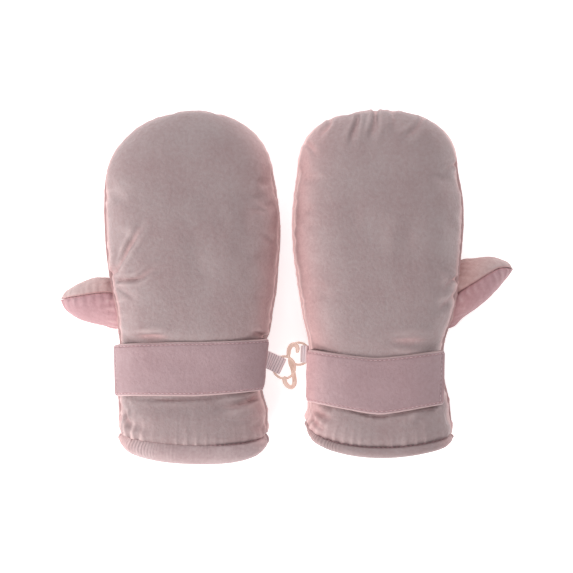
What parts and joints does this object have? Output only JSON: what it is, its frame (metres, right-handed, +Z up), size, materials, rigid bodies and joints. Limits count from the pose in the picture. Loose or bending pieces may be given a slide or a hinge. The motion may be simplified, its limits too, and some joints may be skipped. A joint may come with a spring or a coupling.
{
  "type": "pair of toddler ski mittens",
  "caption": "Padded toddler ski mittens lying on their palms, with wrist straps, open hollow cuffs and plastic clips on ribbon tabs that link the pair.",
  "frame": {"origin": "middle of the pair's bounding box in X and Y, on the surface that the palms rest on", "axes": "+X from the left mitten of the picture to the right one, +Y from the cuffs to the fingertips, +Z up out of the backs of the hands"},
  "size_m": [0.2071, 0.1619, 0.0424],
  "materials": {
    "shell": "smooth woven nylon over wadding, dusty pink, satin sheen",
    "strap": "the same nylon folded flat and topstitched, a little pinker",
    "ribbon": "ribbed ribbon, pale lilac white",
    "clip": "translucent pale peach plastic, glossy"
  },
  "bodies": {
    "root": {"back_left": "shell", "palm_left": "shell", "thumb_finger_half_left": "shell", "thumb_wrist_half_left": "shell", "hem_left": "shell", "strap_left": "strap", "tab_left": "ribbon", "clip_left": "clip", "back_right": "shell", "palm_right": "shell", "thumb_finger_half_right": "shell", "thumb_wrist_half_right": "shell", "hem_right": "shell", "strap_right": "strap", "tab_right": "ribbon", "clip_right": "clip"}
  },
  "joints": []
}
